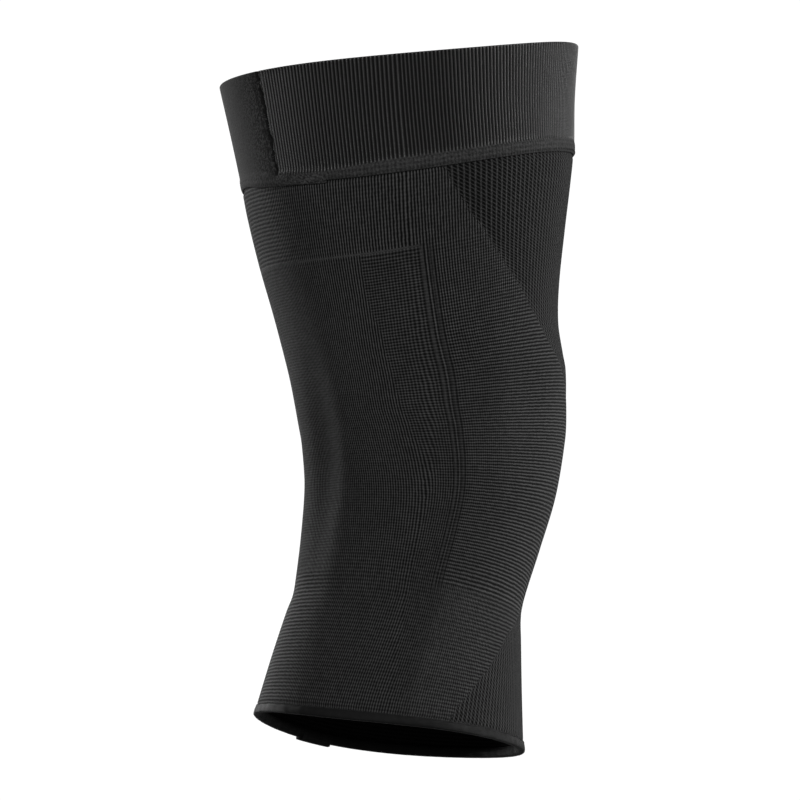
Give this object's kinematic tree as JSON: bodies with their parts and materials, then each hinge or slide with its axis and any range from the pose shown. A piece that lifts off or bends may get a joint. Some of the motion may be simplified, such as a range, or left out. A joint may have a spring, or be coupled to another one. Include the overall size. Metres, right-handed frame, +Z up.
{
  "type": "knee sleeve",
  "caption": "Knitted compression sleeve for a slightly bent knee, with a wide ribbed thigh cuff and a narrow folded calf hem.",
  "frame": {"origin": "in the hollow at the middle of the knee, halfway between kneecap and back of knee", "axes": "+Z up the leg towards the thigh, +X out of the kneecap, +Y to one side"},
  "size_m": [0.1506, 0.1316, 0.2988],
  "materials": {
    "knit": "matt fine knit",
    "rib": "ribbed elastic with a slight sheen",
    "hem": "smooth matt elastic"
  },
  "bodies": {
    "root": {"knit_tube": "knit", "thigh_cuff": "rib", "calf_hem": "hem"}
  },
  "joints": []
}
